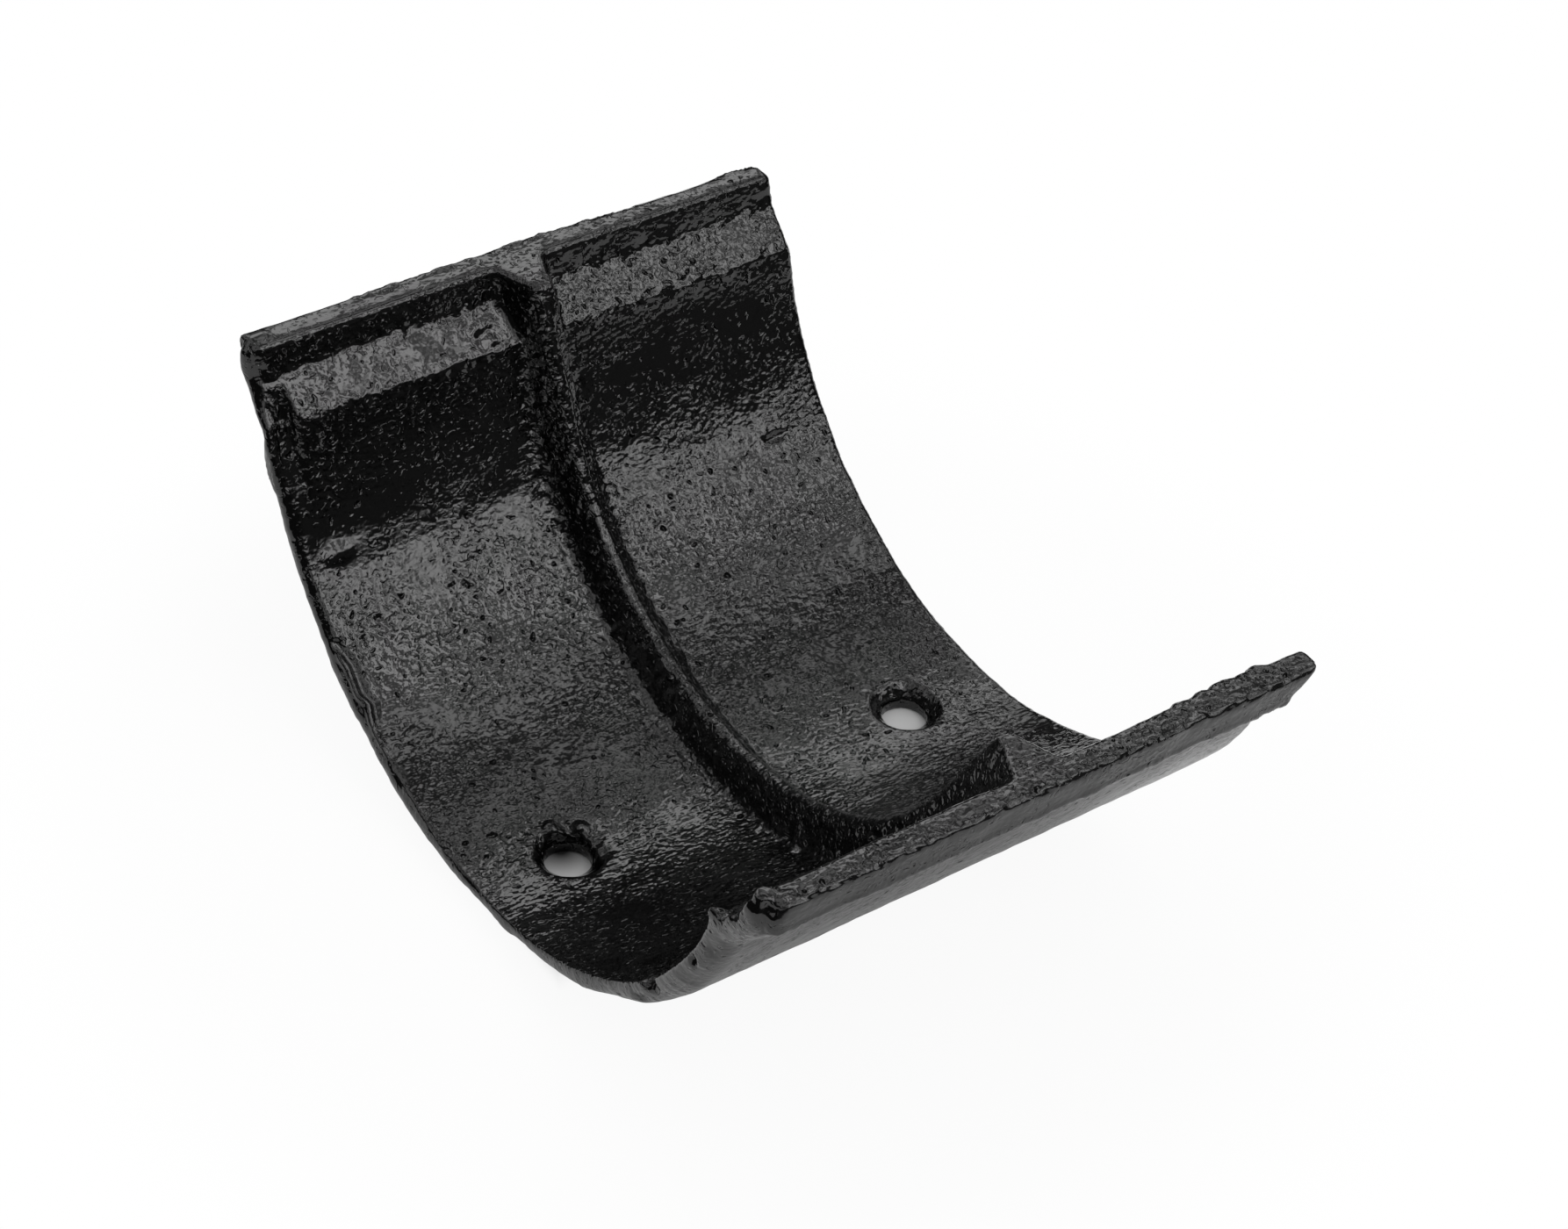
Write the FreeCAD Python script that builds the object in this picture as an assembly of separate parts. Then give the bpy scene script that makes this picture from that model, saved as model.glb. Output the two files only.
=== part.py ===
"""Union clip for half-round cast-iron gutter: a short trough, cast in one piece, that two
gutter ends drop into.  A rib across the middle keeps the two ends apart, a seat along each
rim takes the gutter's bead, and one countersunk hole in each half takes a gutter bolt.

Frame, in millimetres: X runs along the gutter, Y from the front rim to the back rim, Z up.
The origin is under the middle of the clip, on the lowest line of the round bottom.
"""
import FreeCAD, Part
import math
import os

# Trough
clip_length = 100.0
gutter_radius = 63.0        # inside of the round wall, where the gutter lies
wall = 4.3                  # round wall
rim_drop = 6.0              # centre of the round wall down to the rims

# Bead seat along each rim
seat_height = 10.8          # rim down to the foot of the sloping ledge
seat_width = 7.3            # foot of the ledge out to the rim's inner face
seat_wall_height = 5.2      # rim down to the bottom of the seat's upright wall
seat_draft = 1.4            # lean of that wall
rim_width = 4.6
skirt_height = 5.8          # upright outer face below the rim
skirt_draft = 0.6           # lean of that face
shoulder_drop = 3.6         # foot of the ledge down to where the outside leaves the round wall

# Rib between the two gutter ends
rib_height = 6.7
rib_crest_width = 3.2
rib_foot_width = 9.0
rib_overrun = 1.0           # the rib is made past the rims, then cut level with them

# Bolt holes
bolt_hole_diameter = 7.6    # clears an M6 gutter bolt
countersink_diameter = 12.0
countersink_angle = 90.0
hole_from_rib = 33.0        # middle of the rib to a hole's axis
hole_to_front = 2.2         # lowest line of the trough to a hole's axis
hole_overrun = 5.0          # length of the cutters past the wall

# Rounded edges of the casting
seat_corner_round = 2.6
ledge_foot_round = 1.5
skirt_round = 3.0
shoulder_round = 4.0
rib_foot_round = 1.8
rib_crest_round = 1.1
rim_inner_round = 1.2
rim_outer_round = 0.9
rim_corner_round = 3.0      # corners of the rims, seen from above

# Sizes that follow from those above
outer_radius = gutter_radius + wall
centre_z = outer_radius
rim_z = centre_z - rim_drop
half_length = clip_length / 2


def arc_y(radius, z):
    """Half width, at a height, of a round wall of this radius."""
    return math.sqrt(radius ** 2 - (z - centre_z) ** 2)


ledge_foot_z = rim_z - seat_height
ledge_foot_y = arc_y(gutter_radius, ledge_foot_z)
rim_inner_y = ledge_foot_y + seat_width
rim_outer_y = rim_inner_y + rim_width
seat_bottom_z = rim_z - seat_wall_height
seat_bottom_y = rim_inner_y - seat_draft
skirt_bottom_z = rim_z - skirt_height
skirt_bottom_y = rim_outer_y - skirt_draft
shoulder_z = ledge_foot_z - shoulder_drop
shoulder_y = arc_y(outer_radius, shoulder_z)
crest_x = rib_crest_width / 2
foot_x = rib_foot_width / 2
rib_sink = 0.62 * wall      # depth of the rib's wide side in the wall

same = 0.01                 # two lengths closer than this are the same


def at(x, y, z):
    return FreeCAD.Vector(x, y, z)


def outline(x, points):
    """Closed wire in the plane at x.  A point is (y, z), and a point marked "arc" is where the
    arc between its two neighbours passes."""
    edges = []
    start = points[0]
    through = None
    for point in points[1:] + points[:1]:
        if "arc" in point:
            through = point
            continue
        first = at(x, start[0], start[1])
        last = at(x, point[0], point[1])
        if through:
            edges.append(Part.Arc(first, at(x, through[0], through[1]), last).toShape())
        else:
            edges.append(Part.LineSegment(first, last).toShape())
        start = point
        through = None
    return Part.Wire(edges)


def mirrored(points):
    """The same points on the front side, in reverse order."""
    return [(-point[0], point[1]) for point in reversed(points)]


def outer_side():
    """The outside of the back wall, from the rim down to the round wall, and the bottom of that."""
    back = [(rim_outer_y, rim_z), (skirt_bottom_y, skirt_bottom_z), (shoulder_y, shoulder_z)]
    bottom = (0.0, centre_z - outer_radius, "arc")
    return back, bottom


def trough_section():
    """The wall's section: up the inside to the back rim, over it, down and round the outside."""
    inner_back = [(ledge_foot_y, ledge_foot_z), (seat_bottom_y, seat_bottom_z), (rim_inner_y, rim_z)]
    inner_bottom = (0.0, centre_z - gutter_radius, "arc")
    outer_back, outer_bottom = outer_side()
    back = inner_back + outer_back
    return back + [outer_bottom] + mirrored(back) + [inner_bottom]


def run_along(section):
    """A section of the clip, drawn out over its whole length."""
    return Part.Face(outline(-half_length, section)).extrude(at(clip_length, 0, 0))


def long_edges(shape, y, z):
    """The edges that run the whole length at (y, z), on the back and on the front."""
    found = []
    for edge in shape.Edges:
        ends = [vertex.Point for vertex in edge.Vertexes]
        whole = len(ends) == 2 and abs(abs(ends[1].x - ends[0].x) - clip_length) < same
        if whole and all(abs(abs(p.y) - y) < same and abs(p.z - z) < same for p in ends):
            found.append(edge)
    return found


def trough():
    body = run_along(trough_section())
    rounds = [
        (seat_corner_round, seat_bottom_y, seat_bottom_z),
        (ledge_foot_round, ledge_foot_y, ledge_foot_z),
        (skirt_round, skirt_bottom_y, skirt_bottom_z),
        (shoulder_round, shoulder_y, shoulder_z),
    ]
    for radius, y, z in rounds:
        body = body.makeFillet(radius, long_edges(body, y, z))
    return body


def rib_section():
    """The rib's section under the trough's axis, as (x, z): flanks that lean in from a wide side,
    sunk in the wall, to a crest with rounded edges."""
    lean = math.atan2(foot_x - crest_x, rib_height)
    sunk_x = foot_x + rib_sink * math.tan(lean)
    sunk_z = centre_z - gutter_radius - rib_sink
    crest_z = centre_z - gutter_radius + rib_height
    setback = rib_crest_round * math.tan((math.pi / 2 - lean) / 2)
    arc_x = crest_x - setback
    arc_z = crest_z - rib_crest_round
    halfway = (math.pi / 2 + lean) / 2
    flank = [
        (sunk_x, sunk_z),
        (crest_x + setback * math.sin(lean), crest_z - setback * math.cos(lean)),
        (arc_x + rib_crest_round * math.cos(halfway), arc_z + rib_crest_round * math.sin(halfway), "arc"),
        (arc_x, crest_z),
    ]
    other_flank = [(-point[0],) + point[1:] for point in reversed(flank)]
    across = Part.Face(outline(0, flank + other_flank))
    return across.rotated(at(0, 0, 0), at(0, 0, 1), -90)


def rib():
    """The section, turned about the trough's axis round the bottom and run straight on, along the
    tangents, up past both rims.  What passes the trough's outside or the rims is cut off."""
    section = rib_section()

    # The turn ends where the tangent, at the inside of the wall, heads for the rim's inner edge
    to_rim = math.hypot(rim_inner_y, rim_drop)
    end_angle = math.atan2(rim_drop, rim_inner_y) + math.acos(gutter_radius / to_rim)
    half_turn = 90 - math.degrees(end_angle)
    axis_point = at(0, 0, centre_z)
    axis = at(1, 0, 0)
    body = section.rotated(axis_point, axis, -half_turn).revolve(axis_point, axis, 2 * half_turn)

    sunk_radius = gutter_radius + rib_sink
    rise = sunk_radius * math.sin(end_angle) - rim_drop + rib_overrun
    for side in (-1, 1):
        end = section.rotated(axis_point, axis, side * half_turn)
        body = body.fuse(end.extrude(at(0, side * rise * math.tan(end_angle), rise)))
    outer_back, outer_bottom = outer_side()
    outside = run_along(outer_back + [outer_bottom] + mirrored(outer_back))
    return body.removeSplitter().common(outside)


def plan_block():
    """The clip's outline from above, with rounded corners, up to the level of the rims."""
    block = Part.makeBox(clip_length, 2 * rim_outer_y, rim_z, at(-half_length, -rim_outer_y, 0))
    corners = [edge for edge in block.Edges if edge.BoundBox.ZLength > rim_z - same]
    return block.makeFillet(rim_corner_round, corners)


def rib_foot_edges(shape):
    """Where the rib's flanks meet the trough, all the way from rim to rim."""
    nearest = (crest_x + foot_x) / 2
    farthest = foot_x + rib_height
    return [
        edge for edge in shape.Edges
        if all(nearest < abs(vertex.X) < farthest for vertex in edge.Vertexes)
    ]


def rim_edges(shape, inside):
    """The edges of the rims' tops: those towards the trough, or those along the outside."""
    found = []
    for edge in shape.Edges:
        level = all(abs(vertex.Z - rim_z) < same for vertex in edge.Vertexes)
        reach = [abs(vertex.Y) for vertex in edge.Vertexes]
        if inside:
            wanted = max(reach) < rim_inner_y + same
        else:
            wanted = min(reach) > rim_outer_y - same
        if level and wanted:
            found.append(edge)
    return found


def bolt_hole(x):
    """Cutter for one hole: straight through the bottom, countersunk from the inside."""
    hole_radius = bolt_hole_diameter / 2
    sink_radius = countersink_diameter / 2
    slope = math.tan(math.radians(countersink_angle / 2))
    sink_bottom = wall - (sink_radius - hole_radius) / slope
    sink_top = wall + hole_overrun
    top_radius = sink_radius + hole_overrun * slope
    y = -hole_to_front
    shank = Part.makeCylinder(hole_radius, wall + 2 * hole_overrun, at(x, y, -hole_overrun))
    sink = Part.makeCone(hole_radius, top_radius, sink_top - sink_bottom, at(x, y, sink_bottom))
    return shank.fuse(sink)


def union_clip():
    """The ends stay square, as they are filed."""
    body = trough().fuse(rib()).common(plan_block()).removeSplitter().Solids[0]
    body = body.makeFillet(rib_foot_round, rib_foot_edges(body))
    body = body.makeFillet(rim_inner_round, rim_edges(body, inside=True))
    body = body.makeFillet(rim_outer_round, rim_edges(body, inside=False))
    for x in (-hole_from_rib, hole_from_rib):
        body = body.cut(bolt_hole(x))
    return body.Solids[0]


os.makedirs("parts", exist_ok=True)
union_clip().exportStep("parts/union_clip.step")
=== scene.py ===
"""A union clip for half-round gutter: one iron casting from a sand mould, its ends filed, under
gloss black bitumen paint.  The casting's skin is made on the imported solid, with the waves, lumps,
pits and flash of the mould as geometry and the pebbles of the sand as bump.

Lengths are in millimetres until a mesh is written: X runs along the gutter from its near end to its
far end, Y from the front rim to the back rim, Z up.
"""

import math

import bmesh
import bpy
import numpy as np
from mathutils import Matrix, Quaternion, Vector, noise
from mathutils.bvhtree import BVHTree


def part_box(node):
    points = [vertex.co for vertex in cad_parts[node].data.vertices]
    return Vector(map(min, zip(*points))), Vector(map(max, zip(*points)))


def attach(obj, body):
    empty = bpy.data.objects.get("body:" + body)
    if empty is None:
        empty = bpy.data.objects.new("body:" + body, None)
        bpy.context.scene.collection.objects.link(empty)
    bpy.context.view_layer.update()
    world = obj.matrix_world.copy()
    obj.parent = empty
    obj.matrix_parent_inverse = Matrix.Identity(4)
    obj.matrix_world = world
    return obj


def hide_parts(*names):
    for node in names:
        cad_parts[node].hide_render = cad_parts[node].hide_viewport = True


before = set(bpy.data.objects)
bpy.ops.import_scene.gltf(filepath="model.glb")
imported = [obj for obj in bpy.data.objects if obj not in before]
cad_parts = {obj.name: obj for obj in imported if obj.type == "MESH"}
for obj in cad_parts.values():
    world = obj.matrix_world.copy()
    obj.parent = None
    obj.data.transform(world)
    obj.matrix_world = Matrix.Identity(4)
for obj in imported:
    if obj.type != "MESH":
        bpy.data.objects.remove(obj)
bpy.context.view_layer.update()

MM = 0.001
CLIP = "union_clip"

# Sizes of the clip that its finish follows
box_low, box_high = (np.array(corner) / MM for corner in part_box(CLIP))
half_length, _, rim_z = box_high
gutter_radius = 63.0
wall = 4.3
axis_z = gutter_radius + wall
rim_inner_y = 68.0
rim_outer_y = 72.5
hole_from_rib = 33.0
hole_to_front = 2.2
rib_crest_half = 2.0
rib_foot_half = 5.2

# Corners of the wall's section as (y, z), two outside and two inside
skirt_bottom = (72.0, 55.5)
shoulder = (64.1, 46.9)
ledge_foot = (60.7, 50.5)
seat_bottom = (66.6, 56.1)

# Skin of the casting
skin_step = 0.45
most_triangles = 190000
paint_inset = 0.3           # room for lumps and flash inside the clip's overall size

# Waves that the rammed sand leaves, and the strokes of the file
swell_height = 0.20
swell_length = 14.0
wave_height = 0.12
wave_length = 5.0
ripple_height = 0.09
ripple_length = 2.2
stroke_height = 0.09
stroke_width = 1.1

# Lumps, hollows and pits that this casting has: place, reach and rise
casting_marks = (
    # Near end of the front rim: a hollow with a drop of paint and a lump in it
    ((-48.2, -71.6, 60.6), (3.4, 2.0, 2.4), -1.6),
    ((-44.9, -70.5, 61.2), (2.0, 1.1, 1.4), 0.9),
    ((-49.3, -69.6, 61.0), (0.8, 0.7, 1.0), 0.7),
    ((-49.0, -71.8, 58.6), (2.6, 1.8, 2.4), -0.7),
    ((-49.6, -65.4, 55.6), (2.4, 2.0, 2.0), -0.9),
    ((-48.9, -63.0, 52.7), (2.4, 1.2, 1.2), -0.6),
    ((-50.0, -61.8, 44.3), (2.0, 2.5, 3.0), -0.5),
    # Near end face: a chip at its inner edge, a pit, and the kinked bottom corner
    ((-49.6, -47.6, 25.8), (3.4, 2.9, 2.4), -3.0),
    ((-50.0, -57.8, 39.2), (1.6, 0.9, 1.7), -1.9),
    ((-50.0, -46.6, 19.5), (2.5, 3.0, 2.5), -0.8),
    ((-50.0, 6.7, 4.6), (1.6, 2.0, 1.6), 0.9),
    # Near end of the back wall: a bulge outside with a nick above it, lumps on the ledge
    ((-48.0, 62.6, 42.5), (8.0, 6.0, 7.0), 1.0),
    ((-50.0, 64.6, 46.8), (2.4, 1.6, 1.3), -1.5),
    ((-48.6, 72.4, 59.6), (1.6, 1.0, 1.8), 0.8),
    ((-42.0, 59.4, 46.2), (0.7, 1.6, 3.6), 0.5),
    ((-43.2, 50.9, 30.1), (3.6, 2.4, 2.4), 0.35),
    # Trough: pimples, pits and a gouge
    ((-26.7, 43.9, 22.1), (1.1, 0.9, 0.9), 0.35),
    ((-40.3, 42.9, 21.2), (0.9, 0.7, 0.7), -0.5),
    ((-18.8, 40.4, 19.0), (0.7, 0.7, 0.7), -0.45),
    ((-43.9, 41.3, 19.8), (0.8, 0.6, 0.6), -0.45),
    ((-22.8, 37.1, 16.4), (0.8, 0.6, 0.6), -0.5),
    ((-25.4, 32.7, 13.5), (0.7, 0.6, 0.6), -0.45),
    ((-41.3, 31.8, 12.9), (0.8, 0.6, 0.6), -0.45),
    ((38.8, 46.1, 24.4), (3.2, 1.3, 1.3), -0.7),
    ((14.2, 8.1, 4.8), (2.0, 1.5, 1.5), -0.5),
    ((-5.5, 12.2, 5.5), (1.8, 4.0, 2.0), 0.5),
    # Front rim: a blob on the outer edge
    ((26.9, -72.0, 61.0), (1.6, 1.0, 1.0), 0.6),
)


def linear(colour):
    """Linear RGBA of an sRGB hex value."""
    levels = [int(colour[i:i + 2], 16) / 255 for i in (1, 3, 5)]
    return [c / 12.92 if c <= 0.04045 else ((c + 0.055) / 1.055) ** 2.4 for c in levels] + [1.0]


def add(tree, kind, inputs=None, **settings):
    """Adds a node with its settings. An input takes a value, or a link from another socket."""
    node = tree.nodes.new("ShaderNode" + kind)
    for name, value in settings.items():
        setattr(node, name, value)
    for name, value in (inputs or {}).items():
        if isinstance(value, bpy.types.NodeSocket):
            tree.links.new(value, node.inputs[name])
        else:
            node.inputs[name].default_value = value
    return node


def ramp(value, low, high):
    """0 up to low, 1 from high, and a smooth step between."""
    share = np.clip((value - low) / (high - low), 0.0, 1.0)
    return share * share * (3.0 - 2.0 * share)


def near(value, full, none):
    """1 up to full, 0 from none, and a smooth step between."""
    return 1.0 - ramp(value, full, none)


def waves(points, size, seed, stretch=(1.0, 1.0, 1.0)):
    """Noise with waves of about this size, from -1 to 1, drawn out along an axis by stretch."""
    apart = 17.31               # keeps the noise of one seed away from that of the next
    places = points / (size * np.array(stretch)) + seed * apart
    return np.array([noise.noise(place) for place in places])


def spot(points, centre, reach):
    """1 at the centre and 0 from reach on, which is one length or one for each axis."""
    away = (points - np.array(centre)) / np.array(reach)
    return np.clip(1.0 - np.sum(away * away, axis=1), 0.0, None) ** 2


def from_path(points, path):
    """Distance of each point from a path of straight runs, and how far along it that is."""
    nearest = np.full(len(points), np.inf)
    along = np.zeros(len(points))
    start_length = 0.0
    for start, end in zip(np.array(path[:-1]), np.array(path[1:])):
        run = end - start
        length = np.linalg.norm(run)
        share = np.clip((points - start) @ run / length ** 2, 0.0, 1.0)
        away = np.linalg.norm(points - start - share[:, None] * run, axis=1)
        closer = away < nearest
        nearest[closer] = away[closer]
        along[closer] = start_length + share[closer] * length
        start_length += length
    return nearest, along


def from_axis(points):
    """The way from the gutter's axis to each point, and its length."""
    out = np.column_stack([np.zeros(len(points)), points[:, 1], points[:, 2] - axis_z])
    return out, np.linalg.norm(out, axis=1)


def above_trough(points):
    """Height of each point over the trough's round inside, towards the axis."""
    return gutter_radius - np.hypot(points[:, 1], points[:, 2] - axis_z)


def near_half(points):
    """1 on the near side of the rib and 0 from the rib on."""
    return near(points[:, 0], -12.0, -6.0)


def eased(values, edges, passes, share=0.5):
    """Each value moved towards the mean of its neighbours."""
    count = np.zeros(len(values))
    np.add.at(count, edges.ravel(), 1.0)
    for _ in range(passes):
        total = np.zeros_like(values)
        np.add.at(total, edges[:, 0], values[edges[:, 1]])
        np.add.at(total, edges[:, 1], values[edges[:, 0]])
        mean = (total.T / count).T
        values = values + share * (mean - values)
    return values


def rows_of(items, name, width, kind=float):
    """One value of every vertex or edge of a mesh, as rows of this width."""
    values = np.empty(len(items) * width, dtype=kind)
    items.foreach_get(name, values)
    return values.reshape(-1, width)


def mesh_points(mesh):
    """The mesh's points in millimetres."""
    return rows_of(mesh.vertices, "co", 3) / MM


def set_points(mesh, points):
    """Moves the mesh's points to these places in millimetres."""
    mesh.vertices.foreach_set("co", (points * MM).ravel())
    mesh.update()


def baked(piece):
    """The piece's mesh with its modifiers applied."""
    graph = bpy.context.evaluated_depsgraph_get()
    mesh = bpy.data.meshes.new_from_object(piece.evaluated_get(graph))
    piece.modifiers.clear()
    piece.data = mesh
    return mesh


def bare_casting():
    """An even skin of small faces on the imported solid, with edges as soft as cast ones."""
    same_point = 0.001
    softening_passes = 2
    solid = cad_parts[CLIP]
    closed = bmesh.new()
    closed.from_mesh(solid.data)
    bmesh.ops.remove_doubles(closed, verts=closed.verts, dist=same_point * MM)
    surface = BVHTree.FromBMesh(closed)
    mesh = bpy.data.meshes.new("casting")
    closed.to_mesh(mesh)
    closed.free()
    casting = bpy.data.objects.new("casting", mesh)
    bpy.context.scene.collection.objects.link(casting)
    skin = casting.modifiers.new("skin", "REMESH")
    skin.mode = "VOXEL"
    skin.voxel_size = skin_step * MM
    skin.use_smooth_shade = True
    mesh = baked(casting)
    on_solid = [surface.find_nearest(vertex.co)[0] for vertex in mesh.vertices]
    points = np.array(on_solid) / MM
    edges = rows_of(mesh.edges, "vertices", 2, np.int32)
    set_points(mesh, eased(points, edges, softening_passes))
    return casting


def wall_profile(radius, upper):
    """Half the section of the wall's inside or outside, as (y, z) from the lowest line up: the round
    part as far as the first of the upper points, then those."""
    arc_points = 16
    angles = np.linspace(0.0, math.asin(upper[0][0] / radius), arc_points)
    round_part = [(radius * math.sin(turn), axis_z - radius * math.cos(turn)) for turn in angles]
    return round_part + list(upper)


def rounded_ends(points, depth, deeper, radius):
    """Rounds the edges between the ends and the face that depth is measured from.  Deeper is the way
    into the wall."""
    over_end = np.clip(radius - half_length + np.abs(points[:, 0]), 0.0, None)
    over_face = np.clip(radius - depth, 0.0, None)
    both = (over_end > 0.0) & (over_face > 0.0)
    square = np.maximum(over_end, over_face)
    lost = np.where(both, 1.0 - square / np.maximum(np.hypot(over_end, over_face), 1e-9), 0.0)
    moved = points + deeper * (over_face * lost)[:, None]
    moved[:, 0] -= np.sign(points[:, 0]) * over_end * lost
    return moved


def worn_ends(casting):
    """The ends lose their edges: much outside, little inside, and the most at the near end."""
    # Radii at the far end, and how much larger or smaller they are at the near end
    outer_radius = 1.6
    outer_more = 2.2
    outer_less_at_back = 1.4
    inner_radius = 0.9
    inner_more_at_back = 0.9
    inner_more_by_ledge = 1.6
    inner_share_lost_in_front = 0.5
    top_radius = 1.2
    top_more = 1.2
    unevenness = 0.3
    uneven_length = 8.0

    mesh = casting.data
    points = mesh_points(mesh)
    section = np.column_stack([np.abs(points[:, 1]), points[:, 2]])
    out, radius = from_axis(points)
    outward = out / radius[:, None]
    down = np.array([[0.0, 0.0, -1.0]])
    at_near_end = near(points[:, 0], -1.0, 1.0)
    at_back = ramp(points[:, 1], -20.0, 30.0)
    by_ledge = ramp(points[:, 2], 46.0, 52.0)
    on_rim = ramp(section[:, 0], rim_inner_y - 3.0, rim_inner_y - 1.0)
    uneven = 1.0 + unevenness * waves(points, uneven_length, 31)

    outer_round = (outer_radius + at_near_end * (outer_more - outer_less_at_back * at_back)) * uneven
    inner_more = at_near_end * at_back * (inner_more_at_back + inner_more_by_ledge * by_ledge)
    inner_round = (inner_radius + inner_more) * uneven
    inner_round *= 1.0 - inner_share_lost_in_front * at_near_end * (1.0 - at_back)
    top_round = (top_radius + top_more * at_near_end) * on_rim * uneven
    outer_line = wall_profile(gutter_radius + wall, (shoulder, skirt_bottom, (rim_outer_y, rim_z)))
    inner_line = wall_profile(gutter_radius, (ledge_foot, seat_bottom, (rim_inner_y, rim_z)))
    points = rounded_ends(points, rim_z - points[:, 2], down, top_round)
    points = rounded_ends(points, from_path(section, outer_line)[0], -outward, outer_round)
    points = rounded_ends(points, from_path(section, inner_line)[0], outward, inner_round)
    set_points(mesh, points)


def regions(points, normals):
    """How far each point belongs to the filed ends, the outside and the tops of the rims."""
    out, radius = from_axis(points)
    outward = np.sum(out * normals, axis=1) / radius
    end = ramp(np.abs(normals[:, 0]), 0.4, 0.8)
    end *= ramp(np.abs(points[:, 0]), half_length - 4.0, half_length - 2.5)
    skirt = ramp(np.abs(points[:, 1]), rim_inner_y - 1.0, rim_inner_y + 2.0)
    skirt *= ramp(np.abs(normals[:, 1]), 0.5, 0.8)
    round_wall = ramp(outward, 0.2, 0.6) * ramp(radius, gutter_radius + 1.0, gutter_radius + 2.0)
    outside = np.maximum(round_wall, skirt)
    top = ramp(normals[:, 2], 0.6, 0.9) * ramp(points[:, 2], rim_z - 2.5, rim_z - 1.2)
    return end, outside * (1.0 - end), top


def rim_fringes(points):
    """Ragged seams along the outer edges of the rims' tops and along the front skirt, where the
    mould's halves met, and the thin flash that leans in from the front rim near its far end."""
    rag_length = 1.5
    rag_stretch = (1.7, 1.0, 1.0)
    fine_rag_length = 0.7
    fine_rag_share = 0.5
    patch_length = 9.0
    tear_length = 3.6

    # Even and ragged shares of the heights, and what the far half of the back seam has less or more
    back_even = 0.1
    back_even_less = 0.5
    back_ragged = 0.5
    back_ragged_more = 1.2
    front_even = -0.25
    front_ragged = 0.8
    ridge_even = 0.25
    ridge_ragged = 0.35
    flash_even = 0.2
    flash_torn = 1.9
    flash_ragged = 0.3

    # The way that each seam stands out as (y, z), and where the flash is
    back_way = (0.7, 0.7)
    front_way = (-0.7, 0.7)
    ridge_way = (-0.5, -0.8)
    flash_below_rim = 0.3
    flash_grows = (14.0, 32.0)
    flash_stops = (40.0, 44.0)

    x, y, z = points.T
    ragged = np.abs(waves(points, rag_length, 11, rag_stretch))
    ragged = ragged + fine_rag_share * np.abs(waves(points, fine_rag_length, 12))
    patchy = ramp(waves(points, patch_length, 15), -0.2, 0.4)
    far_half = ramp(x, 0.0, 25.0)
    back_rags = (back_ragged + back_ragged_more * far_half) * ragged * patchy
    back = near(np.hypot(y - rim_outer_y, z - rim_z), 0.5, 1.5)
    back *= (back_even - back_even_less * far_half) + back_rags
    front = near(np.hypot(y + rim_outer_y, z - rim_z), 0.5, 1.9)
    front *= front_even + front_ragged * ragged
    ridge = near(np.hypot(y + skirt_bottom[0], z - skirt_bottom[1]), 0.3, 1.2)
    ridge *= ridge_even + ridge_ragged * ragged
    flash_run = ramp(x, *flash_grows) * near(x, *flash_stops)
    torn = flash_even + flash_torn * np.abs(waves(points, tear_length, 16)) + flash_ragged * ragged
    flash = near(np.hypot(y + rim_inner_y, z - rim_z + flash_below_rim), 0.4, 1.1) * flash_run * torn
    return np.column_stack([
        np.zeros(len(points)),
        back_way[0] * back + front_way[0] * front + ridge_way[0] * ridge + flash,
        back_way[1] * back + front_way[1] * front + ridge_way[1] * ridge,
    ])


def ledge_lines(points):
    """Height of the ragged lines along the feet and the tops of the ledges, and of the rougher ground
    on the back ledge beside the rib."""
    line_height = 0.3
    line_rag_length = 1.4
    ground_height = 0.4
    ground_rag_length = 1.8
    section = np.column_stack([np.abs(points[:, 1]), points[:, 2]])
    total = np.zeros(len(points))
    for line in (ledge_foot, seat_bottom):
        total += near(np.hypot(*(section - np.array(line)).T), 0.8, 2.0)
    by_rib = spot(points, (-9.5, 63.7, 53.3), (6.5, 5.0, 5.0))
    lines = total * line_height * waves(points, line_rag_length, 13)
    return lines + by_rib * ground_height * waves(points, ground_rag_length, 17)


def on_trough(places):
    """Points of the trough's round inside, from (x, y) as seen from above."""
    return [(x, y, axis_z - math.sqrt(gutter_radius ** 2 - y ** 2)) for x, y in places]


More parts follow.
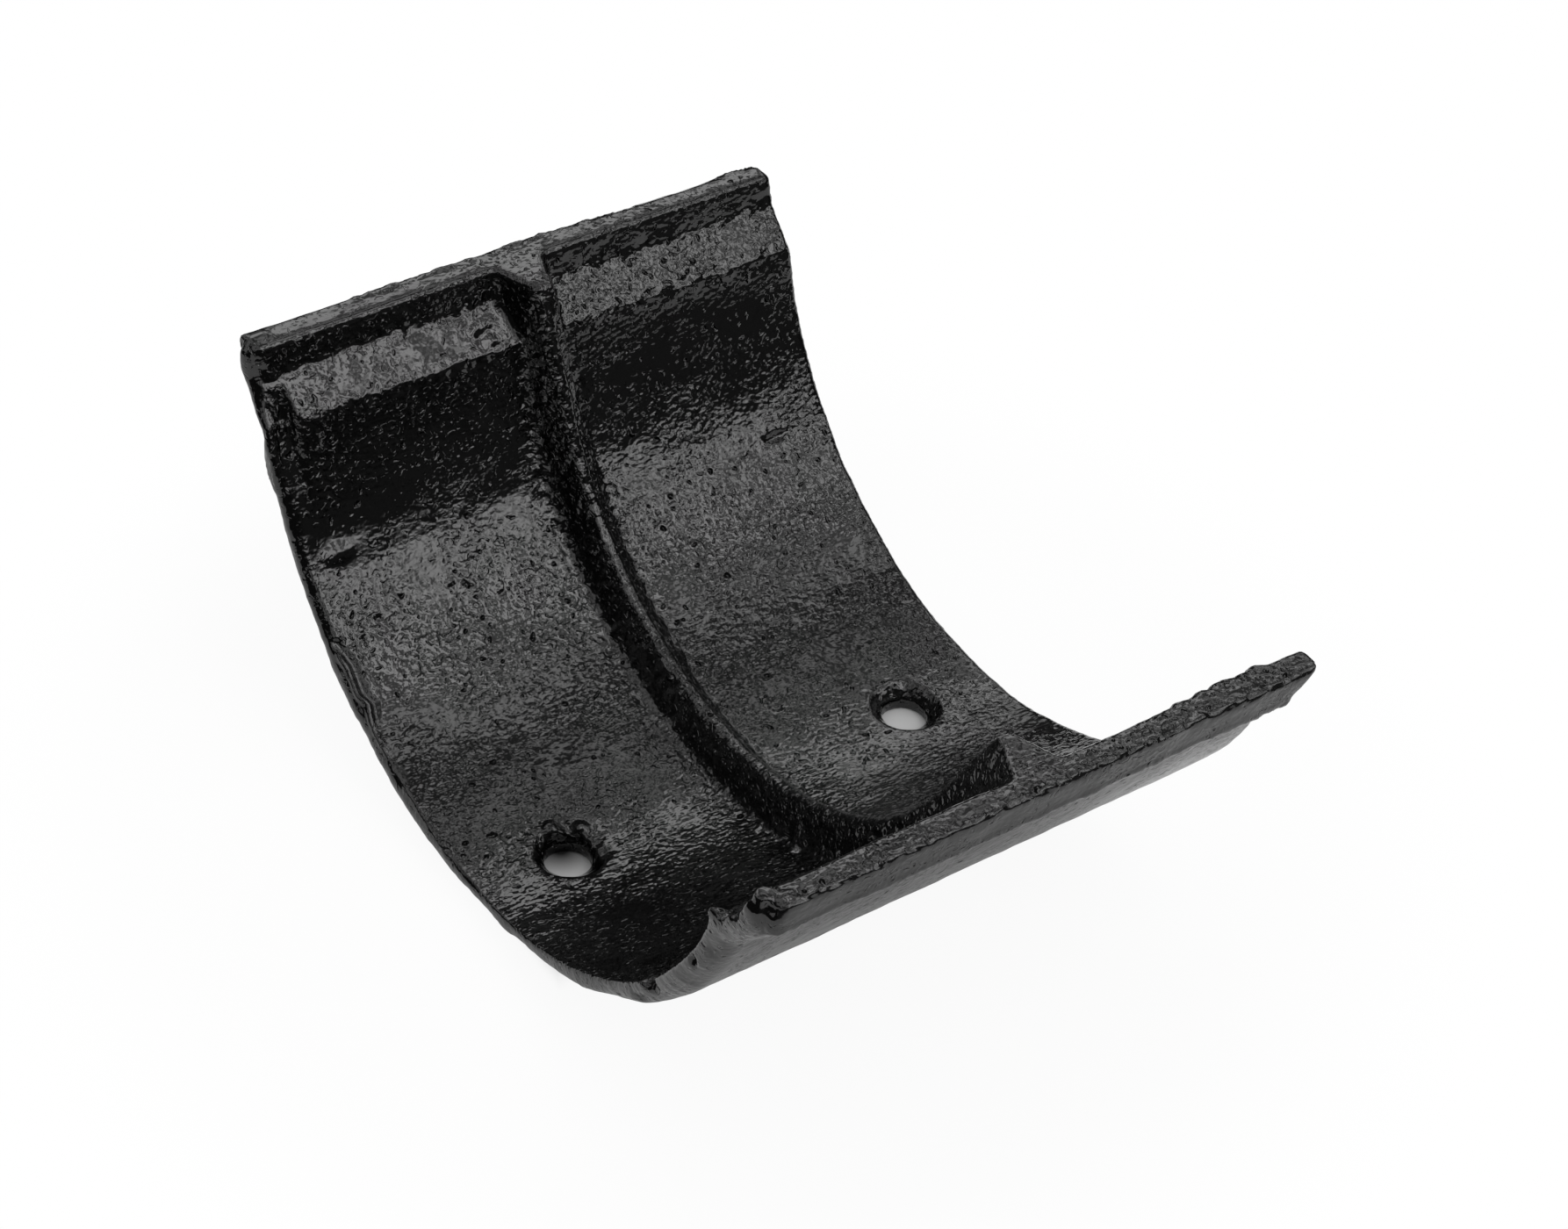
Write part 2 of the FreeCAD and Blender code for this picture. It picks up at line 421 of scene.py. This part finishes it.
def end_flash(points):
    """Height of the wire of flash that wanders along the inside of the near end, with beads of sand
    and paint on its lower part, and of the groove and the faint second line beside it."""
    wire_height = 0.8
    wire_swell = 0.2
    swell_turn = 0.8            # radians for each millimetre along the wire
    bead_height = 0.9
    bead_size = 1.3
    groove_depth = 0.55
    groove_from_wire = np.array([1.2, 0.0, 0.0])
    second_height = 0.2

    # Lengths along the wire
    beads_start = (20.0, 26.0)
    wire_thins = (22.0, 28.0)
    thinner_share = 0.5
    wire_ends = (40.0, 62.0)
    groove_ends = (10.0, 18.0)
    wire = on_trough((
        (-49.8, 42.0), (-48.6, 38.7), (-48.9, 34.9), (-48.0, 33.1), (-49.3, 29.6), (-49.2, 26.1),
        (-49.5, 23.1), (-49.2, 18.1), (-49.3, 13.5), (-49.6, 8.3), (-49.4, -6.5), (-49.0, -15.5),
    ))
    second = on_trough(((-46.2, 44.4), (-46.4, 39.3), (-45.7, 35.1)))

    away, along = from_path(points, wire)
    beads = ramp(along, *beads_start) * waves(points, bead_size, 14)
    fades = near(along, *wire_ends) * (1.0 - thinner_share * ramp(along, *wire_thins))
    swelling = wire_height + wire_swell * np.sin(along * swell_turn) + bead_height * beads
    height = near(away, 0.15, 0.8) * fades * swelling
    groove_away, groove_along = from_path(points - groove_from_wire, wire)
    height -= groove_depth * near(groove_away, 0.2, 0.9) * near(groove_along, *groove_ends)
    return height + second_height * near(from_path(points, second)[0], 0.1, 0.7)


def ledge_end(points):
    """Height of the torn near end of the back ledge, which falls back behind a step in folds."""
    step_depth = 2.2
    fold_height = 1.1
    fold_size = 1.7
    fold_stretch = (0.7, 1.7, 1.7)
    end_edge = (-49.8, -48.2)
    step_at = (-45.4, -44.4)
    back_wall = (30.0, 50.0)
    up_to_seat = (ledge_foot[0], 66.8)
    runs_out_below = (36.0, ledge_foot[1])
    folds_above = (46.0, 50.0)
    x, y, z = points.T
    torn = near(x, *step_at) * ramp(x, *end_edge) * near(y, *up_to_seat) * ramp(z, *runs_out_below)
    folds = waves(points, fold_size, 25, fold_stretch) * ramp(z, *folds_above)
    return torn * ramp(y, *back_wall) * (fold_height * folds - step_depth)


def rib_edges(points):
    """How far each point belongs to the edges of the rib's crest and to its foot."""
    from_middle = np.abs(points[:, 0])
    on_inside = ramp(above_trough(points), -0.5, 0.5)
    crest_edge = near(np.abs(from_middle - rib_crest_half), 0.6, 1.6)
    foot = near(np.abs(from_middle - rib_foot_half), 0.8, 2.0)
    return on_inside * crest_edge, on_inside * foot


def rib_skin(points):
    """Height of the rib's broken edges, and of its crest, which falls away on the far side."""
    fall = 1.5
    foot_share = 1.4
    chip_height = 0.28
    chip_length = 1.6
    crumb_height = 0.2
    crumb_length = 0.9
    x = points[:, 0]
    crest = ramp(above_trough(points), 3.0, 5.5) * near(np.abs(x), 4.0, 6.0)
    crest_edge, foot = rib_edges(points)
    chips = chip_height * waves(points, chip_length, 18) + crumb_height * waves(points, crumb_length, 19)
    broken = (crest_edge + foot_share * foot) * chips
    return broken - fall * crest * ramp(x, -0.5, 2.2)


def bolt_craters(points):
    """Height of the broken ground round the bolt holes: behind each hole a steep lip in place of the
    countersink, with lumps of sand and a hollow on it."""
    lip_radius = 5.2
    lip_width = 1.0
    lip_height = 0.8
    lip_rag = 0.4
    edge_radius = 6.2
    edge_width = 1.3
    edge_rag = 0.45
    towards = 0.6               # the lip's middle, as a turn from straight behind the hole
    rag_length = 2.1
    fine_rag_length = 1.0
    fine_rag_share = 0.5
    near_force = 1.0
    far_force = 0.25

    # Turn from straight behind the hole, distance from its axis, reach and rise
    lumps = ((0.1, 5.6, 1.7, 0.5), (1.0, 5.4, 1.7, 0.45), (0.4, 4.8, 0.9, 0.5), (0.6, 5.8, 1.3, -0.7))
    lump_reach_down = 3.0

    x, y, z = points.T
    ragged = waves(points, rag_length, 21) + fine_rag_share * waves(points, fine_rag_length, 22)
    inside = ramp(z, 1.8, 3.0)
    total = np.zeros(len(points))
    for hole_x, force in ((-hole_from_rib, near_force), (hole_from_rib, far_force)):
        across, behind = x - hole_x, y + hole_to_front
        away = np.hypot(across, behind)
        turn = np.abs(np.arctan2(across, behind) - towards)
        lip = np.exp(-((away - lip_radius) / lip_width) ** 2) * near(turn, 1.0, 1.9)
        edge = np.exp(-((away - edge_radius) / edge_width) ** 2) * near(turn, 1.6, 2.3)
        total += inside * force * (lip * (lip_height + lip_rag * ragged) + edge * edge_rag * ragged)
        for lump_turn, out, reach, rise in lumps:
            place = (hole_x + out * math.sin(lump_turn), out * math.cos(lump_turn) - hole_to_front, wall)
            total += inside * force * rise * spot(points, place, (reach, reach, lump_reach_down))
    return total


def file_strokes(points):
    """Waves of the strokes that a file leaves across the ends, from the inside out."""
    stroke_stretch = (1.0, 5.0, 3.0)
    out, across_wall = from_axis(points)
    along_wall = np.arctan2(out[:, 1], -out[:, 2]) * gutter_radius
    places = np.column_stack([along_wall, across_wall, points[:, 0]])
    return waves(places, stroke_width, 41, stroke_stretch)


def far_corner_cut(points):
    """How far the far end of the front rim is drawn back below its top, where the skirt is worn off."""
    deepest = 4.5
    below_rim = (0.5, 6.5)
    to_front = (61.0, 69.0)
    to_far_end = (36.0, 50.0)
    x, y, z = points.T
    return deepest * ramp(rim_z - z, *below_rim) * ramp(-y, *to_front) * ramp(x, *to_far_end)


def front_ledge_peak(points):
    """How the metal is drawn in and up to a peak at the near end of the front ledge."""
    length = 1.7
    way = np.array([0.0, 0.5, 0.85])
    peak = length * spot(points, (-50.0, -60.9, 50.9), (3.5, 2.2, 2.2))
    return peak[:, None] * way


def paint_drops(points):
    """How far each point belongs to the two smooth, flat drops of paint on the rims' near ends."""
    # Middle and reach, as seen from above
    front_drop = ((-47.5, -68.9), (1.8, 1.5))
    back_drop = ((-46.3, 70.6), (2.2, 1.2))
    edge = (0.8, 1.0)
    height = (58.6, 59.6)
    drop = np.zeros(len(points))
    for middle, reach in (front_drop, back_drop):
        away = np.hypot(*((points[:, :2] - np.array(middle)) / np.array(reach)).T)
        drop = np.maximum(drop, near(away, *edge) * ramp(points[:, 2], *height))
    return drop


def smooth_back_ledge(points):
    """How much of the sand the paint hides on the near half of the back ledge."""
    hidden = 0.45
    from_ledge = from_path(points[:, 1:], (ledge_foot, seat_bottom))[0]
    return hidden * near_half(points) * near(from_ledge, 0.6, 2.0)


def sand_shown(points, end, outside, top, drop):
    """How much of the sand shows through the paint: less where the iron is filed, outside and under
    thick paint, and more on the edges of the rib's crest."""
    filed_away = 0.4
    hidden_outside = 0.3
    hidden_on_back_rim = 0.35
    more_hidden_on_near_half = 0.4
    hidden_by_drop = 0.97
    hidden_by_thick_paint = 0.4
    more_on_crest = 0.8

    near_side = near_half(points)
    back_top = top * ramp(points[:, 1], -1.0, 1.0)
    smooth_top = back_top * (hidden_on_back_rim + more_hidden_on_near_half * near_side)
    sand = (1.0 - filed_away * end) * (1.0 - hidden_outside * outside) * (1.0 - smooth_top)
    sand *= 1.0 - smooth_back_ledge(points)
    sand *= (1.0 - hidden_by_drop * drop) * (1.0 + more_on_crest * rib_edges(points)[0])

    # Thicker paint on the rib's near flank and on the wall below the near half of the back ledge
    flank_middle = (rib_crest_half + rib_foot_half) / 2
    flank_reach = (0.8, 1.5)
    wall_from = (40.0, 47.0)
    wall_to = (58.5, 60.5)
    flank = near(np.abs(points[:, 0] + flank_middle), *flank_reach) * (1.0 - outside)
    below_ledge = ramp(points[:, 1], *wall_from) * near(points[:, 1], *wall_to)
    sand *= (1.0 - hidden_by_thick_paint * flank) * (1.0 - hidden_by_thick_paint * near_side * below_ledge)
    return sand


def cast_skin(casting):
    """Moves the points to the skin that the mould, the file and the paint left, and keeps for the paint
    how much sand shows, what lies outside and where the sand was rougher."""
    patch_length = 9.0
    mesh = casting.data
    points = mesh_points(mesh)
    normals = rows_of(mesh.vertex_normals, "vector", 3)
    end, outside, top = regions(points, normals)
    drop = paint_drops(points)
    sand = sand_shown(points, end, outside, top, drop)
    rippled = sand + smooth_back_ledge(points)

    # Room for what stands proud
    points[:, 0] *= 1.0 - paint_inset / half_length
    points[:, 2] -= paint_inset * ramp(points[:, 2], rim_z - 6.0, rim_z)

    height = swell_height * waves(points, swell_length, 1) + wave_height * waves(points, wave_length, 2)
    ripples = rippled * ripple_height * waves(points, ripple_length, 3)
    height += ripples + end * stroke_height * file_strokes(points)
    for place, reach, rise in casting_marks:
        height += rise * spot(points, place, reach)
    height += end_flash(points) + ledge_end(points) + ledge_lines(points)
    height += bolt_craters(points) + rib_skin(points)
    peak = front_ledge_peak(points)
    cut = far_corner_cut(points)
    points = points + (1.0 - drop)[:, None] * (normals * height[:, None] + rim_fringes(points))
    points[:, 2] += drop * (rim_z - points[:, 2])
    points[:, 0] -= cut
    points += peak

    set_points(mesh, np.clip(points, box_low, box_high))
    patches = ramp(waves(points, patch_length, 51), -0.5, 0.5)
    for name, values in (("sand", sand), ("outside", outside), ("patches", patches)):
        layer = mesh.attributes.new(name, "FLOAT", "POINT")
        layer.data.foreach_set("value", values)


def fewer_faces(casting):
    """Thins the skin out to no more than most_triangles triangles, most where it is flat."""
    mesh = casting.data
    triangles = sum(len(face.vertices) - 2 for face in mesh.polygons)
    if triangles > most_triangles:
        thinned = casting.modifiers.new("thinned", "DECIMATE")
        thinned.ratio = most_triangles / triangles
        mesh = baked(casting)
        set_points(mesh, np.clip(mesh_points(mesh), box_low, box_high))
    casting.data.shade_smooth()


def gloss_black_bitumen_paint():
    """Bitumen paint, brushed thick over sand-cast iron: black, wet-looking gloss that follows the
    sand's pebbles, so that every pebble has a bright and a dark side."""
    material = bpy.data.materials.new("gloss_black_bitumen_paint_on_sand_cast_iron")
    material.use_nodes = True
    tree = material.node_tree
    tree.nodes.clear()
    metres = add(tree, "TexCoord").outputs["Object"]
    place = add(tree, "VectorMath", {0: metres, "Scale": 1.0 / MM}, operation="SCALE").outputs["Vector"]
    sand = add(tree, "Attribute", attribute_name="sand").outputs["Fac"]
    outside = add(tree, "Attribute", attribute_name="outside").outputs["Fac"]
    patches = add(tree, "Attribute", attribute_name="patches").outputs["Fac"]

    # Pebbles of the sand, a little longer along the gutter, and higher in some patches than in others
    pebble_size = 0.76
    pebble_height = 0.14
    pebble_squeeze = (0.78, 1.0, 1.0)
    lowest_share = 0.7
    highest_share = 1.25
    drawn_out = add(tree, "VectorMath", {0: place, 1: pebble_squeeze}, operation="MULTIPLY").outputs[0]
    pebbles = add(tree, "TexNoise", {
        "Vector": drawn_out, "Scale": 1.0 / pebble_size, "Detail": 0.5,
    }).outputs["Fac"]
    patch_share = add(tree, "MapRange", {"Value": patches, "To Min": lowest_share, "To Max": highest_share})
    height = add(tree, "Math", {0: pebbles, 1: pebble_height}, operation="MULTIPLY")
    height = add(tree, "Math", {0: height.outputs[0], 1: patch_share.outputs[0]}, operation="MULTIPLY")

    # Where another noise is highest the sand left a pit, and where it is lowest a pimple
    pit_spacing = 1.9
    pit_depth = -1.3
    pit_levels = (0.675, 0.93)
    pimple_height = 0.9
    pimple_levels = (0.32, 0.05)
    spots = add(tree, "TexNoise", {
        "Vector": place, "Scale": 1.0 / pit_spacing, "Detail": 1.0,
    }).outputs["Fac"]
    for (start, end), rise in ((pit_levels, pit_depth), (pimple_levels, pimple_height)):
        dome = add(tree, "MapRange", {
            "Value": spots, "From Min": start, "From Max": end, "To Min": 0.0, "To Max": rise,
        }, interpolation_type="SMOOTHSTEP")
        height = add(tree, "Math", {0: dome.outputs[0], 1: height.outputs[0]}, operation="ADD")

    # Short creases, where the paint ran together between pebbles, along the middle level of that noise
    crease_depth = -0.17
    crease_width = 0.055
    on_pebbles = (0.51, 0.57)
    on_patches = (0.0, 0.6)
    middle = add(tree, "Math", {0: spots, 1: 0.5}, operation="SUBTRACT")
    middle = add(tree, "Math", {0: middle.outputs[0]}, operation="ABSOLUTE")
    crease = add(tree, "MapRange", {
        "Value": middle.outputs[0],
        "From Min": crease_width, "From Max": 0.0, "To Min": 0.0, "To Max": crease_depth,
    }, interpolation_type="SMOOTHSTEP")
    for lot, (start, end) in ((pebbles, on_pebbles), (patches, on_patches)):
        runs = add(tree, "MapRange", {
            "Value": lot, "From Min": start, "From Max": end,
        }, interpolation_type="SMOOTHSTEP")
        crease = add(tree, "Math", {0: crease.outputs[0], 1: runs.outputs[0]}, operation="MULTIPLY")
    height = add(tree, "Math", {0: crease.outputs[0], 1: height.outputs[0]}, operation="ADD")
    height = add(tree, "Math", {0: height.outputs[0], 1: sand}, operation="MULTIPLY")

    # The gloss is a little duller outside
    gloss_roughness = 0.09
    rougher_outside = 0.12
    roughness = add(tree, "Math", {
        0: outside, 1: rougher_outside, 2: gloss_roughness,
    }, operation="MULTIPLY_ADD")
    bump = add(tree, "Bump", {"Height": height.outputs[0], "Distance": MM, "Strength": 1.0})
    paint = add(tree, "BsdfPrincipled", {
        "Base Color": linear("#020202"),
        "Roughness": roughness.outputs[0],
        "IOR": 1.57,
        "Normal": bump.outputs["Normal"],
    })
    add(tree, "OutputMaterial", {"Surface": paint.outputs["BSDF"]})
    return material


def straight_view(tree):
    """1 on rays that come from the camera, also through something clear, and 0 on all others."""
    ray = add(tree, "LightPath")
    return add(tree, "Math", {
        0: ray.outputs["Is Camera Ray"], 1: ray.outputs["Is Transmission Ray"],
    }, operation="MAXIMUM").outputs[0]


def white_paper():
    """Matt white paper, rolled smooth: plain white where it lies open, with a faint shadow near the
    clip, and painted shadow in its colour under the clip, darkest behind the near hole."""
    material = bpy.data.materials.new("white_paper_floor_with_painted_shadow")
    material.use_nodes = True
    tree = material.node_tree
    tree.nodes.clear()
    mirrored = 0.1              # share of the paper's own light that the gloss paint mirrors
    white = add(tree, "Emission", {"Color": linear("#FFFFFF"), "Strength": 1.0})
    glossy = add(tree, "LightPath").outputs["Is Glossy Ray"]
    seen = add(tree, "Math", {0: glossy, 1: mirrored, 2: straight_view(tree)}, operation="MULTIPLY_ADD")

    # The paper is whitest at its edge; under the clip's lowest line it shows its plain shade, and its
    # colour is darkened there as painted shadow
    shadow_reach = (80.0, 130.0)
    white_by_clip = 0.93
    painted_shadow_under_clip = (("X", 40.0, 48.0), ("Y", 8.0, 24.0))
    place = add(tree, "NewGeometry").outputs["Position"]
    reach = add(tree, "VectorMath", {0: place}, operation="LENGTH").outputs["Value"]
    open_to_light = add(tree, "MapRange", {
        "Value": reach, "From Min": shadow_reach[0] * MM, "From Max": shadow_reach[1] * MM,
        "To Min": white_by_clip, "To Max": 1.0,
    }, interpolation_type="SMOOTHSTEP").outputs[0]
    sides = add(tree, "SeparateXYZ", {0: place})
    clear = 0.0
    for axis, inner, outer in painted_shadow_under_clip:
        away = add(tree, "Math", {0: sides.outputs[axis]}, operation="ABSOLUTE")
        past = add(tree, "MapRange", {
            "Value": away.outputs[0], "From Min": inner * MM, "From Max": outer * MM,
        }, interpolation_type="SMOOTHSTEP")
        clear = add(tree, "Math", {0: clear, 1: past.outputs[0]}, operation="MAXIMUM").outputs[0]
    open_to_light = add(tree, "Math", {0: open_to_light, 1: clear}, operation="MULTIPLY").outputs[0]

    # Painted shadow: under the clip the paper's colour is darkened, most of all behind the near hole
    deepest = (-31.2 * MM, 2.2 * MM, 0.0)
    painted_shadow_spread = (1.2, 7.5)
    painted_shadow_levels = (0.02, 0.65)
    from_darkest_painted_shadow = add(tree, "VectorMath", {0: place, 1: deepest}, operation="DISTANCE").outputs["Value"]
    shade = add(tree, "MapRange", {
        "Value": from_darkest_painted_shadow, "From Min": painted_shadow_spread[0] * MM, "From Max": painted_shadow_spread[1] * MM,
        "To Min": painted_shadow_levels[0], "To Max": painted_shadow_levels[1],
    }).outputs[0]
    shade = add(tree, "Math", {0: shade, 1: clear}, operation="MAXIMUM").outputs[0]
    # The painted shadow scales the paper's colour down under the clip
    colour = add(tree, "VectorMath", {0: linear("#F4F4F4")[:3], "Scale": shade}, operation="SCALE")
    paper = add(tree, "BsdfDiffuse", {"Color": colour.outputs["Vector"]})
    part = add(tree, "Math", {0: seen.outputs[0], 1: open_to_light}, operation="MULTIPLY")
    mixed = add(tree, "MixShader", {0: part.outputs[0], 1: paper.outputs[0], 2: white.outputs[0]})
    add(tree, "OutputMaterial", {"Surface": mixed.outputs[0]})
    return material


def studio_floor():
    """A round sheet of white paper that ends in a white surround."""
    sheet_radius = 300.0
    sheet_sides = 64
    mesh = bpy.data.meshes.new("floor")
    sheet = bmesh.new()
    bmesh.ops.create_circle(sheet, cap_ends=True, segments=sheet_sides, radius=sheet_radius * MM)
    sheet.to_mesh(mesh)
    sheet.free()
    floor = bpy.data.objects.new("floor", mesh)
    bpy.context.scene.collection.objects.link(floor)
    mesh.materials.append(white_paper())


def bearing(azimuth, elevation):
    """The way to look, in degrees from +Y towards +X and up from the floor."""
    turn, rise = math.radians(azimuth), math.radians(elevation)
    return (math.sin(turn) * math.cos(rise), math.cos(turn) * math.cos(rise), math.sin(rise))


def glow(tree, way, towards, reach, strength, full=0.0):
    """Light of this strength round a bearing: all of it as far as full, none from reach on, in degrees."""
    facing = add(tree, "VectorMath", {0: way, 1: towards}, operation="DOT_PRODUCT")
    return add(tree, "MapRange", {
        "Value": facing.outputs["Value"],
        "From Min": math.cos(math.radians(reach)), "From Max": math.cos(math.radians(full)),
        "To Min": 0.0, "To Max": strength,
    }).outputs[0]


def cloth_above(tree, up, low, high):
    """0 below the tent's cloth and 1 on it, with its edge between two heights in degrees."""
    return add(tree, "MapRange", {
        "Value": up, "From Min": math.sin(math.radians(low)), "From Max": math.sin(math.radians(high)),
    }, interpolation_type="SMOOTHSTEP").outputs[0]


def studio_light():
    """A pale tent, dim near the floor, with soft lamps behind its cloth: the main one at the front
    right, one at the back and a weak one on the left."""
    world = bpy.data.worlds.new("studio_tent")
    bpy.context.scene.world = world
    world.use_nodes = True
    tree = world.node_tree
    tree.nodes.clear()
    way = add(tree, "TexCoord").outputs["Generated"]
    up = add(tree, "SeparateXYZ", {0: way}).outputs["Z"]

    # Bearing, reach in degrees and strength
    lamps = (
        (bearing(150, 46), 42, 1.9),
        (bearing(25, 36), 42, 1.0),
        (bearing(-100, 45), 50, 0.3),
    )
    cloth_level = 0.5
    level = cloth_level
    for towards, reach, strength in lamps:
        lamp = glow(tree, way, towards, reach, strength)
        level = add(tree, "Math", {0: level, 1: lamp}, operation="ADD").outputs[0]

    # Folds of the cloth, hung so that the paint mirrors them in the right places
    fold_size = 0.19            # in radians, about eleven degrees
    fold_shift = (16.44, 8.76, 25.32)
    fold_levels = (0.4, 0.6)
    dark_fold = 0.3
    bright_fold = 1.7
    hung = add(tree, "VectorMath", {0: way, 1: fold_shift}, operation="ADD").outputs["Vector"]
    folds = add(tree, "TexNoise", {"Vector": hung, "Scale": 1.0 / fold_size, "Detail": 1.0})
    shade = add(tree, "MapRange", {
        "Value": folds.outputs["Fac"], "From Min": fold_levels[0], "From Max": fold_levels[1],
        "To Min": dark_fold, "To Max": bright_fold,
    }).outputs[0]
    level = add(tree, "Math", {0: level, 1: shade}, operation="MULTIPLY").outputs[0]

    # The cloth ends above the floor and hangs lower behind the clip, and below it the studio is dim
    dim_level = 0.045
    lit = cloth_above(tree, up, low=21, high=29)
    behind_clip = glow(tree, way, bearing(34, 15), reach=36, strength=1.0, full=16)
    lower = cloth_above(tree, up, low=4, high=38)
    lower = add(tree, "Math", {0: lower, 1: behind_clip}, operation="MULTIPLY").outputs[0]
    lit = add(tree, "Math", {0: lit, 1: lower}, operation="MAXIMUM").outputs[0]
    level = add(tree, "Math", {0: level, 1: lit}, operation="MULTIPLY").outputs[0]
    level = add(tree, "Math", {0: level, 1: dim_level}, operation="MAXIMUM").outputs[0]

    # Low at the front right the tent is open a little, and the camera sees plain white
    gap = glow(tree, way, bearing(151, 6), reach=30, strength=0.11)
    level = add(tree, "Math", {0: level, 1: gap}, operation="MAXIMUM").outputs[0]
    level = add(tree, "Math", {0: level, 1: straight_view(tree)}, operation="MAXIMUM").outputs[0]
    sky = add(tree, "Background", {"Color": level, "Strength": 1.0})
    add(tree, "OutputWorld", {"Surface": sky.outputs[0]})


def photo_camera():
    """A long lens above the near end of the front rim, rolled a little."""
    place = Vector((-271.2, -342.0, 420.0))
    target = Vector((17.13, 12.34, 20.0))
    roll = Quaternion((0.0, 0.0, 1.0), math.radians(6.06))
    data = bpy.data.cameras.new("camera")
    data.sensor_fit = "HORIZONTAL"
    data.sensor_width = 36.0
    data.lens = 86.34
    data.clip_start = 0.01
    camera = bpy.data.objects.new("camera", data)
    bpy.context.scene.collection.objects.link(camera)
    camera.rotation_mode = "QUATERNION"
    camera.rotation_quaternion = (target - place).to_track_quat("-Z", "Y") @ roll
    camera.location = place * MM
    bpy.context.scene.camera = camera


casting = bare_casting()
worn_ends(casting)
cast_skin(casting)
fewer_faces(casting)
casting.data.materials.clear()
casting.data.materials.append(gloss_black_bitumen_paint())
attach(casting, "root")
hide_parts(CLIP)

studio_floor()
studio_light()
photo_camera()
bpy.context.scene.view_settings.view_transform = "Standard"
